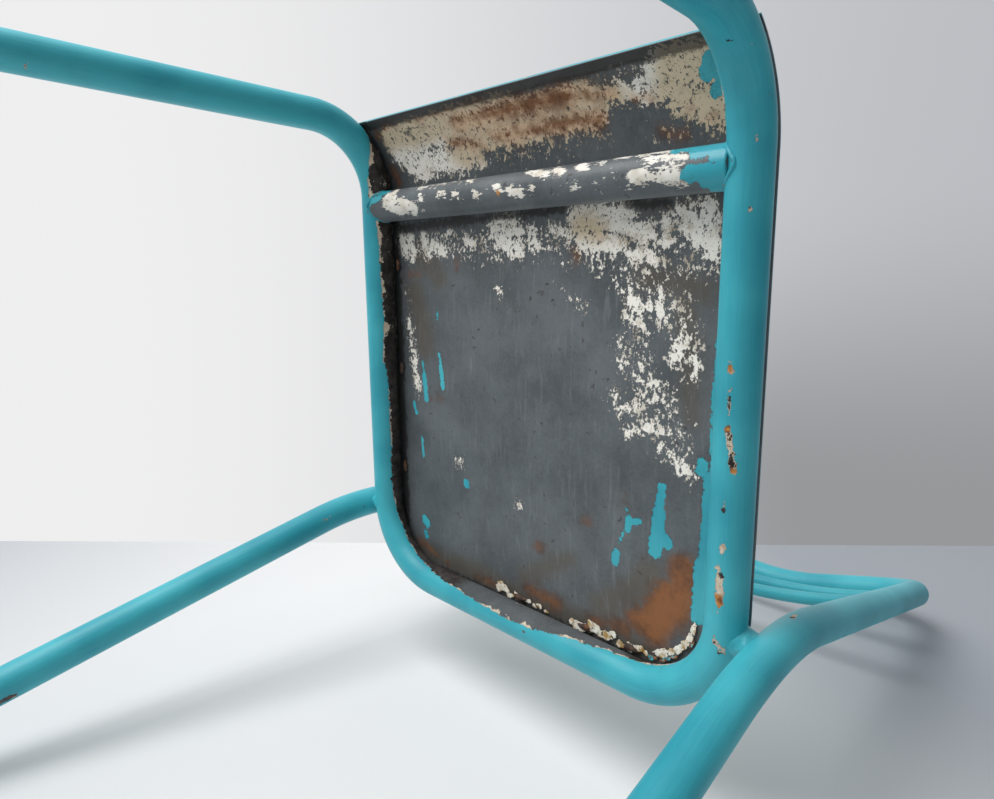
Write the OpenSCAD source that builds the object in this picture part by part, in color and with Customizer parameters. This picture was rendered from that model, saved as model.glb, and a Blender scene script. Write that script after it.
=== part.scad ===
// Small metal cafe chair: two bent tubes, a cross tube, two back bars and a pressed seat.
// Units are millimetres. Z is up, the front of the chair faces -Y, and the origin lies on
// the floor at the centre of the chair's outline.

/* [Tubes] */
// Outside diameter of the frame tubes and the cross tube
tube_d = 25; // [22:0.5:28]
// Wall of the frame tubes and the cross tube
tube_wall = 1.5; // [1:0.1:2.5]
// Diameter of the two round back bars
bar_d = 12; // [8:0.5:16]

/* [Seat frame] */
// Height of the side rails' centreline above the floor
rail_height = 435; // [400:5:470]
// Distance of each side rail's centreline from the middle of the chair
rail_offset = 168.5; // [150:0.5:190]
// Length of the rails, from the rear rail's centreline to the front corner of the tube
rail_length = 386.5; // [350:0.5:420]
// Bend radius where the side rails turn into the rear rail
rear_corner_radius = 64.5; // [50:0.5:75]
// Bend radius where the side rails turn down into the front legs
front_bend_radius = 61.5; // [45:0.5:70]
// How far the front legs lean outwards, in degrees
front_leg_splay = 2.4; // [0:0.1:5]
// How far the front legs lean forwards, in degrees
front_leg_rake = 3.1; // [0:0.1:6]

/* [Back frame] */
// Distance of the joint in the back tube in front of the rear rail's centreline
joint_setback = 60.5; // [50:0.5:70]
// Height of that joint above the rails' centreline
joint_rise = 8; // [0:0.5:12]
// Space between the back tube and the side rail, filled by the weld
joint_gap = 1.5; // [0.5:0.1:3]
// Bend radius at the joint
joint_radius = 243; // [150:1:300]
// How far the rear legs lean outwards, in degrees
rear_leg_splay = 2.6; // [0:0.1:5]
// How far the rear legs lean backwards, in degrees
rear_leg_rake = 13.2; // [8:0.1:16]
// How far the uprights lean inwards, in degrees
upright_lean_in = 4.2; // [0:0.1:7]
// How far the uprights lean backwards, in degrees
upright_recline = 17; // [10:0.1:20]
// Height of the top rail above the joint
back_height = 430; // [380:1:450]
// Bend radius at the top corners
top_corner_radius = 49; // [40:1:60]
// Angle by which each half of the top rail swings rearwards
top_rail_sweep = 14.5; // [12:0.5:22]
// Radius of the curve in the middle of the top rail
top_rail_radius = 230; // [200:5:350]
// Height of the lower back bar above the joint
lower_bar_height = 271; // [230:1:285]
// Height of the upper back bar above the joint
upper_bar_height = 344; // [310:1:365]
// How far the middle of each back bar lies behind its ends
bar_bow = 31; // [15:1:40]

/* [Cross tube] */
// Outside diameter of the cross tube
cross_d = 25; // [22:0.5:27]
// Distance of the cross tube's centreline in front of the rear rail's centreline
cross_setback = 320.5; // [300:0.5:340]

/* [Seat pan] */
// Thickness of the seat sheet
sheet = 1.2; // [0.8:0.1:2]
// Overhang of the sheet beyond the rails' centreline
rim_overhang = 9; // [6:0.5:12]
// Depth of the shallow dish pressed into the sheet
dish_depth = 3; // [2:0.5:6]
// Distance from the rails' centreline to the outline of the dish
dish_margin = 13; // [13:0.5:18]
// Width of the sloping side of the dish
dish_slope = 90; // [40:5:110]
// Corner radius of the dish
dish_corner_radius = 55; // [40:1:60]
// Angle through which the front of the sheet follows the tube's bend
front_roll = 52; // [45:1:60]
// Width of the hem folded under the front edge
hem = 8; // [5:0.5:12]

/* [Feet] */
// Outside diameter of the foot caps
foot_d = 31; // [29:0.5:36]
// Height of the foot caps along the leg
foot_height = 26; // [18:1:35]
// Thickness of the foot caps' sole
foot_sole = 5; // [3:0.5:8]

/* [Welds] */
// Radius of the weld that fills the joint between back tube and rail
joint_weld_radius = 8; // [6:0.5:10]
// Leg of the fillet welds round the cross tube's ends
cross_weld_leg = 3; // [2:0.5:5]
// Bead radius of the welds round the back bars' ends
bar_weld_bead = 2.4; // [1.5:0.1:3]
// Radius of the tack welds between seat sheet and frame
tack_radius = 4; // [3:0.5:5]
// Number of tack welds on each side rail
tacks_per_rail = 3; // [2:1:5]
// Places of the tack welds along the rear rail, from the middle
rear_tacks = [-10, 55, 95]; // [-100:5:100]

/* [Hidden] */
$fn = 96;
// Wide arcs need finer steps.
arc_fn = 360;
tube_r = tube_d / 2;
bore_r = tube_r - tube_wall;
bar_r = bar_d / 2;
// The origin sits midway between the front feet and the back of the top rail.
rear_rail_y = 153.7;
far = 900;
seam = 0.02;
mark_length = 2;
mark_height = 0.1;
// Flat strip of the sheet between the dish and the cross tube.
flat_strip = 8.5;
// The weld at the joint lies a little behind the middle of the back tube's bend.
joint_weld_shift = 4;
// Distance of the tack welds' centres inside the frame tube's centreline, and below the sheet.
tack_inset = 9;
tack_drop = 1;
// The caps' inner floors, along the leg from the point where its centreline meets the floor.
cap_floor = foot_sole + tube_r * 0.3;

front_foot = [rail_offset + rail_height * tan(front_leg_splay),
              rear_rail_y - rail_length - rail_height * tan(front_leg_rake), 0];
front_corner = [rail_offset, rear_rail_y - rail_length, rail_height];
rear_corner = [rail_offset, rear_rail_y, rail_height];

joint = [rail_offset + tube_d + joint_gap, rear_rail_y - joint_setback, rail_height + joint_rise];
rear_foot = joint + joint.z * [tan(rear_leg_splay), tan(rear_leg_rake), -1];
upright = [-tan(upright_lean_in), tan(upright_recline), 1];
top_corner = joint + back_height * upright;
top_middle = [0, top_corner.y + top_corner.x * tan(top_rail_sweep), top_corner.z];

cross_r = cross_d / 2;
// The sheet rests on the cross tube as well as on the rails.
cross_y = rear_rail_y - cross_setback;
cross_z = rail_height + tube_r - cross_r;
cross_length = 2 * (rail_offset - 5);
// A film of paint lies between the frame tubes and the sheet.
paint_film = 0.15;
rim_z = rail_height + tube_r + paint_film;
roll_radius = front_bend_radius + tube_r + paint_film;

function unit(v) = v / norm(v);
function flip(p) = [-p.x, p.y, p.z];

// Both ends of a U-shaped route share one half, mirrored across the middle.
seat_route = [front_foot, front_corner, rear_corner,
              flip(rear_corner), flip(front_corner), flip(front_foot)];
seat_radii = [front_bend_radius, rear_corner_radius, rear_corner_radius, front_bend_radius];
back_route = [rear_foot, joint, top_corner, top_middle,
              flip(top_corner), flip(joint), flip(rear_foot)];
back_radii = [joint_radius, top_corner_radius, top_rail_radius, top_corner_radius, joint_radius];

// Half the angle between the two straights that meet at point i of a route.
function half_angle(route, i) =
    acos(unit(route[i - 1] - route[i]) * unit(route[i + 1] - route[i])) / 2;
// Length that the bend at point i takes from each straight.
function bend_reach(route, radii, i) =
    i < 1 || i > len(route) - 2 ? 0 : radii[i - 1] / tan(half_angle(route, i));

module both_sides() {
    children();
    mirror([1, 0, 0]) children();
}

// A straight round bar from a to b. turn rolls it about its own axis.
module straight(a, b, r, turn = 0) {
    d = b - a;
    translate(a)
        rotate([0, acos(d.z / norm(d)), atan2(d.y, d.x)])
            rotate(turn) cylinder(h = norm(d), r = r);
}

// The straight stretch of a route after point i, made longer or shorter at its two ends.
module stretch(route, radii, i, r, first = 0, last = 0) {
    along = unit(route[i + 1] - route[i]);
    straight(route[i] + along * (bend_reach(route, radii, i) - first),
             route[i + 1] - along * (bend_reach(route, radii, i + 1) - last), r);
}

// The bend at point i of a route, as part of a torus.
module bend(route, radii, i, r) {
    back = unit(route[i - 1] - route[i]);
    ahead = unit(route[i + 1] - route[i]);
    half = half_angle(route, i);
    radius = radii[i - 1];
    centre = route[i] + unit(back + ahead) * radius / sin(half);
    out = unit(route[i] + back * radius / tan(half) - centre);
    axis = cross(out, -back);
    multmatrix([[out.x, -back.x, axis.x, centre.x],
                [out.y, -back.y, axis.y, centre.y],
                [out.z, -back.z, axis.z, centre.z]])
        rotate_extrude(angle = 180 - 2 * half, $fn = arc_fn)
            translate([radius, 0])
                circle(r);
}

// A round rod along a route. Each seam between a straight and a bend lies under a narrow
// ring, the slight mark that a bending tool leaves. ends lengthens the rod at both ends.
module rod(route, radii, r, ends = 0) {
    last = len(route) - 2;
    for (i = [0 : last])
        stretch(route, radii, i, r, i == 0 ? ends : -seam, i == last ? ends : -seam);
    for (i = [1 : last]) {
        bend(route, radii, i, r);
        for (next = [i - 1, i + 1]) {
            along = unit(route[next] - route[i]);
            reach = bend_reach(route, radii, i);
            straight(route[i] + along * (reach - mark_length / 2),
                     route[i] + along * (reach + mark_length / 2), r + mark_height);
        }
    }
}

// A bent tube. Its ends stand in the foot caps, a little above their soles.
module bent_tube(route, radii) {
    difference() {
        rod(route, radii, tube_r, -cap_floor);
        rod(route, radii, bore_r, 1);
    }
}

module seat_frame_tube() {
    color("#4aa9c4") bent_tube(seat_route, seat_radii);
}

module back_frame_tube() {
    color("#4aa9c4") bent_tube(back_route, back_radii);
}

// A level rod across the chair where the cross tube lies.
module cross_rod(r, length) {
    translate([0, cross_y, cross_z])
        rotate([0, 90, 0])
            cylinder(h = length, r = r, center = true);
}

// The cross tube's ends are notched to fit the side rails.
module cross_tube() {
    color("#70747a")
        difference() {
            cross_rod(cross_r, cross_length);
            cross_rod(cross_r - tube_wall, cross_length + 2);
            rod(seat_route, seat_radii, tube_r);
        }
}

// Where a bar at a height above the joint meets the uprights, and the radius of its curve.
function bar_end(height) = joint + height * upright;
function bar_sweep(height) = 2 * atan(bar_bow / bar_end(height).x);
function bar_radius(height) = bar_end(height).x / sin(bar_sweep(height));

// A level arc between the uprights' centrelines.
module bar_arc(height) {
    translate([0, bar_end(height).y + bar_bow - bar_radius(height), bar_end(height).z])
        rotate([0, 0, 90 - bar_sweep(height)])
            rotate_extrude(angle = 2 * bar_sweep(height), $fn = arc_fn)
                translate([bar_radius(height), 0])
                    circle(bar_r);
}

// A back bar is notched at the uprights.
module back_bar(height) {
    color("#4aa9c4")
        difference() {
            bar_arc(height);
            both_sides() stretch(back_route, back_radii, 1, tube_r);
        }
}

module lower_back_bar() { back_bar(lower_bar_height); }
module upper_back_bar() { back_bar(upper_bar_height); }

// --- Seat pan: one pressed sheet -------------------------------------------------------
// A point of the sheet is named by its distance x from the middle and its distance v in
// front of the rear rail's centreline, measured along the sheet. Past the rails' straight
// part the sheet rolls down over the front bends.
rim_x = rail_offset + rim_overhang;
rim_back = -rim_overhang;
// The sheet rolls down from the point where the front bends of the tube start.
flat_length = rail_length - bend_reach(seat_route, seat_radii, 1);
rim_front = flat_length + roll_radius * front_roll * PI / 180;
rim_corner = rear_corner_radius + rim_overhang;
dish_x = rail_offset - dish_margin;
dish_back = dish_margin;
dish_front = cross_setback - cross_r - flat_strip;

// Signed distance from the dish's rounded outline, negative inside.
function dish_distance(x, v) =
    let (cx = dish_x - dish_corner_radius,
         cv = (dish_front - dish_back) / 2 - dish_corner_radius,
         qx = abs(x) - cx,
         qv = abs(v - (dish_front + dish_back) / 2) - cv)
    norm([max(qx, 0), max(qv, 0)]) + min(max(qx, qv), 0) - dish_corner_radius;
// The dish's side is a smooth slope between rim and floor.
function dish(x, v) =
    let (s = max(0, min(1, -dish_distance(x, v) / dish_slope)))
    dish_depth * (1 - cos(180 * s)) / 2;
// Half the sheet's width at v: full, but for the round rear corners.
function half_width(v) =
    let (e = max(0, rim_corner - (v - rim_back)))
    rim_x - rim_corner + sqrt(rim_corner * rim_corner - e * e);
// A point of the sheet, on its underside or its top. The hem doubles the sheet downwards
// between the tubes, and is cut away where the sheet lies on them.
function sheet_point(x, v, top) =
    let (turn = max(0, v - flat_length) / roll_radius * 180 / PI,
         fold = v >= rim_front - hem && abs(x) < rail_offset - tube_r ? sheet : 0,
         r = roll_radius - dish(x, v) + (top ? sheet : -fold),
         y = rear_rail_y - min(v, flat_length))
    [x, y - r * sin(turn), rail_height - front_bend_radius + r * cos(turn)];

// Rows run from the rear edge to the hem, closer together where the sheet curves.
rear_rows = [for (k = [0 : 9]) rim_back + rim_corner * (1 - cos(k * 10))];
floor_rows = [for (k = [0 : 5]) rim_corner + k * (dish_front - dish_slope - rim_corner) / 6];
slope_rows = [for (k = [0 : 3]) dish_front - dish_slope * (1 - k / 4)];
roll_rows = [for (k = [0 : 12]) dish_front + k * (rim_front - hem - 1 - dish_front) / 12];
sheet_rows = concat(rear_rows, floor_rows, slope_rows, roll_rows, [rim_front - hem, rim_front]);
// Places across the sheet, as shares of its half width: fine at the sides, wide in the middle.
half_shares = concat([for (k = [0 : 3]) k * 0.24], [for (k = [1 : 8]) 0.72 + 0.28 * k / 8]);
shares = concat([for (k = [len(half_shares) - 1 : -1 : 1]) -half_shares[k]], half_shares);

module seat_pan() {
    across = len(shares);
    down = len(sheet_rows);
    skin = across * down;
    points = [for (top = [false, true]) for (v = sheet_rows) for (s = shares)
              sheet_point(s * half_width(v), v, top)];
    // Each cell gives two triangles on the underside and two on the top.
    cells = [for (j = [0 : down - 2]) for (i = [0 : across - 2]) j * across + i];
    under = [for (c = cells) each [[c, c + 1, c + across], [c + 1, c + across + 1, c + across]]];
    over = [for (t = under) [t[2] + skin, t[1] + skin, t[0] + skin]];
    // The cut edge runs once round the sheet.
    edge = concat([for (i = [0 : across - 1]) i],
                  [for (j = [1 : down - 1]) j * across + across - 1],
                  [for (i = [across - 2 : -1 : 0]) (down - 1) * across + i],
                  [for (j = [down - 2 : -1 : 1]) j * across]);
    rim = [for (k = [0 : len(edge) - 1])
           let (a = edge[k], b = edge[(k + 1) % len(edge)])
           each [[a, a + skin, b], [b, a + skin, b + skin]]];
    color("#5f666b") polyhedron(points, concat(under, over, rim), convexity = 6);
}

// --- Welds -------------------------------------------------------------------------------
// The space above a level.
module above(z) {
    translate([-far / 2, -far / 2, z]) cube(far);
}

// The fillet where the back tube crosses the outside of each side rail.
module joint_welds() {
    color("#4aa9c4")
        difference() {
            both_sides()
                translate([rail_offset + tube_r + joint_gap / 2, joint.y + joint_weld_shift,
                           rail_height])
                    rotate([0, 90, 0])
                        cylinder(h = tube_r, r = joint_weld_radius, center = true);
            both_sides() {
                bend(seat_route, seat_radii, 2, tube_r);
                bend(back_route, back_radii, 1, tube_r);
            }
        }
}

// A fillet round each end of the cross tube, open at the top where the sheet lies.
module cross_tube_welds() {
    foot = rail_offset - tube_r + cross_weld_leg / 2;
    color("#8b8577")
        difference() {
            both_sides()
                translate([foot - 2 * cross_weld_leg, cross_y, cross_z])
                    rotate([0, 90, 0])
                        cylinder(h = 2 * cross_weld_leg, r1 = cross_r + 0.2, r2 = cross_r + cross_weld_leg);
            rod(seat_route, seat_radii, tube_r);
            cross_rod(cross_r, cross_length);
            above(rim_z - cross_weld_leg);
        }
}

// A bead round each end of both back bars.
module back_bar_welds() {
    color("#4aa9c4")
        difference() {
            for (height = [lower_bar_height, upper_bar_height])
                both_sides()
                    translate(bar_end(height) - [tube_r, 0, 0]
                              + [0, tube_r * sin(bar_sweep(height)), 0])
                        rotate([0, 90, -bar_sweep(height)])
                            rotate_extrude() translate([bar_r, 0]) circle(bar_weld_bead);
            both_sides() stretch(back_route, back_radii, 1, tube_r);
            for (height = [lower_bar_height, upper_bar_height])
                bar_arc(height);
        }
}

// Tacks in the corner between the sheet's rim and the inner side of the rails.
module tack(x, y) {
    translate([x, y, rim_z - tack_drop]) sphere(tack_radius);
}

module seat_tack_welds() {
    color("#6b625a")
        difference() {
            union() {
                both_sides()
                    for (k = [1 : tacks_per_rail])
                        tack(rail_offset - tack_inset,
                             rear_rail_y - cross_setback * k / (tacks_per_rail + 0.5));
                for (x = rear_tacks)
                    tack(x, rear_rail_y - tack_inset);
            }
            both_sides() stretch(seat_route, seat_radii, 1, tube_r);
            stretch(seat_route, seat_radii, 2, tube_r);
            above(rim_z);
        }
}

// --- Feet ----------------------------------------------------------------------------------
// A cap over a leg's end, cut level at the floor.
module foot_cap(foot, knee) {
    along = unit(knee - foot);
    color("#2b2b2b")
        intersection() {
            difference() {
                straight(foot - along * foot_sole * 2, foot + along * foot_height, foot_d / 2, 45);
                straight(foot + along * cap_floor, foot + along * (foot_height + 1), tube_r, 45);
            }
            straight([foot.x, foot.y, 0], [foot.x, foot.y, 2 * foot_height], foot_d);
        }
}

module foot_front_left() { foot_cap(flip(front_foot), flip(front_corner)); }
module foot_front_right() { foot_cap(front_foot, front_corner); }
module foot_rear_left() { foot_cap(flip(rear_foot), flip(joint)); }
module foot_rear_right() { foot_cap(rear_foot, joint); }

seat_frame_tube();
back_frame_tube();
cross_tube();
lower_back_bar();
upper_back_bar();
seat_pan();
joint_welds();
cross_tube_welds();
back_bar_welds();
seat_tack_welds();
foot_front_left();
foot_front_right();
foot_rear_left();
foot_rear_right();
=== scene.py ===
import bpy
import numpy as np
from mathutils import Matrix, Vector


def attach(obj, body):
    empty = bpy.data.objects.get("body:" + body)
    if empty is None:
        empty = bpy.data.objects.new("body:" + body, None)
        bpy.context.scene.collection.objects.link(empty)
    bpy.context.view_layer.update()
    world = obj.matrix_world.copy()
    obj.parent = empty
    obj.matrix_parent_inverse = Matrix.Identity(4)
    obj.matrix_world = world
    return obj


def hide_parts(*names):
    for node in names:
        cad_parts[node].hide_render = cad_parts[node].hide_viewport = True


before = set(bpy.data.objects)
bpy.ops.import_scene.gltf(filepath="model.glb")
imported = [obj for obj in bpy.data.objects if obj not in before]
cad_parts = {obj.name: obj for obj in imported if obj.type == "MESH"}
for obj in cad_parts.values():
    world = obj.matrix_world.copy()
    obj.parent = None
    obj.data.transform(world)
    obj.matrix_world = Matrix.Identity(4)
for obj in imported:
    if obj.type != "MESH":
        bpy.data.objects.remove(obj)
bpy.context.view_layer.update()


# --- Seat frame tube ---------------------------------------------------------------------
# One steel tube, 25 mm thick, bent into the front legs, the side rails and the rear rail.
# It is brushed over with turquoise paint, which stops raggedly on the side that faces the
# seat sheet, with a strip of old cream paint and near-black steel beyond, partly grime and
# partly painted shade.

def unit(v):
    """Each row divided by its length."""
    return v / np.linalg.norm(v, axis=-1, keepdims=True)


def rounded_line(corners, bends, step):
    """The line through the corners in mm, with each inner corner replaced by a circular arc.
    An arc of radius R starts R / tan(half the corner's angle) before the corner, and its
    point at turn t is centre + R (cos t outwards + sin t onwards)."""
    corners = np.array(corners, float)
    last, parts = corners[0], []
    for before, corner, after, bend in zip(corners, corners[1:], corners[2:], bends):
        back, ahead = unit(before - corner), unit(after - corner)
        half = np.arccos(back @ ahead) / 2
        start = corner + back * bend / np.tan(half)
        centre = corner + unit(back + ahead) * bend / np.sin(half)
        count = int(np.linalg.norm(start - last) / step)
        parts.append(last + np.linspace(0, 1, count, endpoint=False)[:, None] * (start - last))
        turn = np.linspace(0, np.pi - 2 * half, int((np.pi - 2 * half) * bend / step),
                           endpoint=False)[:, None]
        parts.append(centre + np.cos(turn) * (start - centre) - bend * np.sin(turn) * back)
        last = corner + ahead * bend / np.tan(half)
    count = int(np.linalg.norm(corners[-1] - last) / step)
    parts.append(last + np.linspace(0, 1, count)[:, None] * (corners[-1] - last))
    return np.concatenate(parts)


def lay_mesh(name, points, faces, uv=None, fields=None):
    """A smooth-shaded mesh object of points in mm. uv holds one pair per face corner, and
    each field one number per point, kept as an attribute."""
    mesh = bpy.data.meshes.new(name)
    mesh.from_pydata(points / 1000, [], faces)
    mesh.polygons.foreach_set("use_smooth", np.ones(len(mesh.polygons), bool))
    if uv is not None:
        mesh.uv_layers.new(name="UVMap").data.foreach_set("uv", uv.astype(np.float32).ravel())
    for field, values in (fields or {}).items():
        kept = mesh.attributes.new(field, "FLOAT", "POINT")
        kept.data.foreach_set("value", values.astype(np.float32).ravel())
    mesh.update()
    piece = bpy.data.objects.new(name, mesh)
    bpy.context.scene.collection.objects.link(piece)
    return piece


def round_skin(line, middle, radius, sides):
    """The skin of a round tube: centre line + radius (cos a out + sin a beyond), where out is
    square to the line and points away from middle. Gives the grid of points, rows along the
    line, with the length along it in mm and the turn a in degrees."""
    along = unit(np.gradient(line, axis=0))
    out = line - np.array(middle, float)
    out = unit(out - (out * along).sum(1, keepdims=True) * along)
    beyond = np.cross(along, out)
    turn = np.arange(sides) * 2 * np.pi / sides
    radius = np.broadcast_to(radius, (len(line), sides))[..., None]
    skin = line[:, None] + radius * (np.cos(turn)[None, :, None] * out[:, None]
                                     + np.sin(turn)[None, :, None] * beyond[:, None])
    length = np.concatenate([[0], np.cumsum(np.linalg.norm(np.diff(line, axis=0), axis=1))])
    return skin, length, np.degrees(turn)


def closed_faces(rows, sides):
    """Quads round a closed grid, and a fan of triangles to one more point at each end."""
    i, j = np.meshgrid(np.arange(rows - 1), np.arange(sides), indexing="ij")
    a, b = (i * sides + j).ravel(), (i * sides + (j + 1) % sides).ravel()
    quads = np.stack([a, b, b + sides, a + sides], 1)
    k = np.arange(sides)
    near, far, end = rows * sides, rows * sides + 1, (rows - 1) * sides
    first = np.stack([np.full(sides, near), (k + 1) % sides, k], 1)
    last = np.stack([np.full(sides, far), end + k, end + (k + 1) % sides], 1)
    return quads.tolist() + first.tolist() + last.tolist()


def closed_uv(length, girth, sides):
    """One pair per face corner of closed_faces: metres along the tube and metres round it."""
    i, j = np.meshgrid(np.arange(len(length) - 1), np.arange(sides), indexing="ij")
    i, j = i.ravel(), j.ravel()
    u = np.stack([length[i], length[i], length[i + 1], length[i + 1]], 1)
    v = np.stack([j, j + 1, j + 1, j], 1) * girth / sides
    fan = np.zeros((sides * 3, 2))
    return np.concatenate([np.stack([u, v], -1).reshape(-1, 2), fan, fan + length[-1]]) / 1000


def tube(name, line, middle, radius, sides, wear=None):
    """A closed round rod. wear(skin, length, turn) gives its attributes as grids."""
    skin, length, turn = round_skin(line, middle, radius, sides)
    points = np.concatenate([skin.reshape(-1, 3), line[[0, -1]]])
    grids = wear(skin, length, turn) if wear else {}
    fields = {k: np.concatenate([g.ravel(), [g[0, 0], g[-1, 0]]]) for k, g in grids.items()}
    uv = closed_uv(length, 2 * np.pi * np.mean(radius), sides)
    return lay_mesh(name, points, closed_faces(len(line), sides), uv, fields)


def strokes(u, v, marks):
    """Depth inside the nearest brush mark in mm, less than zero outside: a mark runs from one
    point to another with a half width, so its depth is half width - distance to that line."""
    best = np.full(np.broadcast(u, v).shape, -40.0)
    for u1, v1, u2, v2, half in marks:
        du, dv = u2 - u1, v2 - v1
        t = np.clip(((u - u1) * du + (v - v1) * dv) / max(du * du + dv * dv, 1e-9), 0, 1)
        best = np.maximum(best, half - np.hypot(u - u1 - t * du, v - v1 - t * dv))
    return best


class Wire:
    """A socket of a shader tree. Arithmetic on it adds Math nodes, node() adds any other."""

    def __init__(self, tree, socket=None):
        self.tree, self.socket = tree, socket

    def node(self, kind, settings=None, values=None, out=0):
        """A node of that kind: its settings, then the values or links of its sockets."""
        made = self.tree.nodes.new("ShaderNode" + kind)
        for key, value in (settings or {}).items():
            setattr(made, key, value)
        for key, value in (values or {}).items():
            if isinstance(value, Wire):
                self.tree.links.new(value.socket, made.inputs[key])
            else:
                made.inputs[key].default_value = value
        return Wire(self.tree, made.outputs[out] if made.outputs else None)

    def math(self, operation, *values):
        return self.node("Math", {"operation": operation}, dict(enumerate(values)))

    def __add__(self, other):
        return self.math("ADD", self, other)

    def __sub__(self, other):
        return self.math("SUBTRACT", self, other)

    def __rsub__(self, other):
        return self.math("SUBTRACT", other, self)

    def __mul__(self, other):
        return self.math("MULTIPLY", self, other)

    __radd__, __rmul__ = __add__, __mul__

    def step(self, low, high):
        """0 below low, 1 above high, and a smooth slope between them."""
        return self.node("MapRange", {"interpolation_type": "SMOOTHSTEP"},
                         {"Value": self, "From Min": low, "From Max": high})

    def blend(self, under, over):
        """The colour under where this mask is 0 and the colour over where it is 1."""
        return self.node("Mix", {"data_type": "RGBA"}, {0: self, 6: under, 7: over}, 2)

    def field(self, name):
        return self.node("Attribute", {"attribute_name": name}, out="Fac")

    def place(self, x=1, y=1, z=1):
        """The place on the object in metres, with each axis multiplied."""
        return self.node("Mapping", None, {"Vector": self.node("TexCoord", out="Object"),
                                           "Scale": (x, y, z)})

    def run(self, along, across):
        """Metres along and round a tube, each multiplied."""
        return self.node("Mapping", None, {"Vector": self.node("TexCoord", out="UV"),
                                           "Scale": (along, across, 1)})

    def noise(self, where, scale, detail=4, rough=0.5, distortion=0):
        """Cloudy noise about 0, from about -0.5 to 0.5."""
        return self.node("TexNoise", None, {"Vector": where, "Scale": scale, "Detail": detail,
                                            "Roughness": rough, "Distortion": distortion}) - 0.5


def shades(*levels):
    """A colour given as three levels from 0 to 255, as the shader's linear colour."""
    part = np.array(levels) / 255
    return (*np.where(part > 0.04045, ((part + 0.055) / 1.055) ** 2.4, part / 12.92), 1)


def finish(name, build):
    """A material whose colour, roughness, metallic share and height in mm build() works out."""
    material = bpy.data.materials.new(name)
    material.use_nodes = True
    material.node_tree.nodes.clear()
    wire = Wire(material.node_tree)
    colour, roughness, metallic, height = build(wire)
    normal = wire.node("Bump", None, {"Strength": 1.0, "Distance": 0.001, "Height": height})
    surface = wire.node("BsdfPrincipled", None, {
        "Base Color": colour, "Roughness": roughness, "Metallic": metallic, "Normal": normal,
        "Specular IOR Level": 0.35})
    wire.node("OutputMaterial", None, {"Surface": surface})
    return material


def dress(piece, material, slot, *nodes):
    """Gives a piece its material, and its place on the chair for these CAD nodes. The slot is not used."""
    piece.data.materials.append(material)
    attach(piece, "root")
    if nodes:
        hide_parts(*nodes)


def paint_coat(wire, place, brush):
    """The colour of the turquoise coat, with slightly paler and deeper brush strokes."""
    broad = wire.noise(place, 14, 3)
    paint = (broad * 2.2 + brush * 0.5 + 0.5).step(0, 1).blend(
        shades(42, 144, 160), shades(66, 172, 184))
    paint = (brush * 1.4 + broad * 0.8 - 0.3).step(0, 0.8).blend(paint, shades(108, 186, 192))
    specks = wire.noise(place, 420, 2).step(0.28, 0.3) * wire.noise(place, 60, 3).step(0, 0.2)
    return specks.blend(paint, shades(50, 88, 92))


def grey_steel(wire, place):
    """The colour of the old grey steel: cloudy, brushed and speckled."""
    cloud = wire.noise(place, 22, 5, 0.6)
    grain = wire.noise(place, 500, 3)
    grey = (cloud * 1.6 + grain * 0.5 + 0.5).step(0, 1).blend(shades(68, 73, 76), shades(98, 103, 106))
    dark = (wire.noise(place, 160, 4, 0.6) + cloud * 0.3).step(0.16, 0.22)
    return dark.blend(grey, shades(64, 62, 62))


def turquoise(wire):
    """Brushed turquoise paint with a few scattered knocks. Where the attribute bare rises
    above 0 the paint is gone: old cream shows in a strip as wide as the attribute cream, then
    near-black steel, partly grime and partly painted shade, which is clean and grey where pale
    is above 0, and rust."""
    place = wire.place()
    ragged = wire.noise(place, 260, 6, 0.65)
    fine = wire.noise(place, 1100, 2)
    brush = wire.noise(wire.run(30, 900), 1, 3, 0.6)
    knocks = (wire.noise(place, 26, 2) + wire.noise(place, 150, 4, 0.6) * 1.3 - 0.42) * 16
    edge = wire.math("MAXIMUM", wire.field("bare"), knocks) + ragged * 7 + fine * 1.5
    gone = edge.step(-0.15, 0.15)
    strip = wire.field("cream") * (wire.noise(place, 80, 5, 0.65) * 8 + 0.45)
    deep = (edge + wire.noise(place, 150, 4) * 4 - strip).step(-0.25, 0.25)
    paint = paint_coat(wire, place, brush)
    old = (ragged + fine * 0.4).step(-0.1, 0.3).blend(shades(206, 190, 170), shades(136, 110, 86))
    # Near-black steel: partly grime, partly painted shade on the side that faces the seat sheet.
    grime_and_shade = wire.noise(place, 120, 5, 0.7).step(-0.15, 0.2).blend(shades(30, 25, 23), shades(66, 60, 57))
    pale = wire.field("pale").step(-3, 3)
    grime_and_shade = (pale * 0.8).blend(grime_and_shade, grey_steel(wire, place))
    flecks = (wire.noise(place, 330, 5, 0.7) + strip * 0.02).step(0.19, 0.23)
    grime_and_shade = flecks.blend(grime_and_shade, shades(190, 182, 168))
    under = deep.blend(old, grime_and_shade)
    rust = (wire.field("rust") + ragged * 6).step(-0.5, 1.5)
    under = rust.blend(under, wire.noise(place, 200, 4).step(-0.2, 0.2).blend(
        shades(120, 62, 32), shades(196, 136, 66)))
    roughness = 0.45 + gone * 0.35 + brush * 0.15
    height = (1 - gone) * 0.3 + brush * 0.12 * (1 - gone) + ragged * 0.15 * gone
    return gone.blend(paint, under), roughness, 0.0, height


def mirrored(point):
    """The same point on the left side of the chair."""
    return (-point[0], *point[1:])


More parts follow.
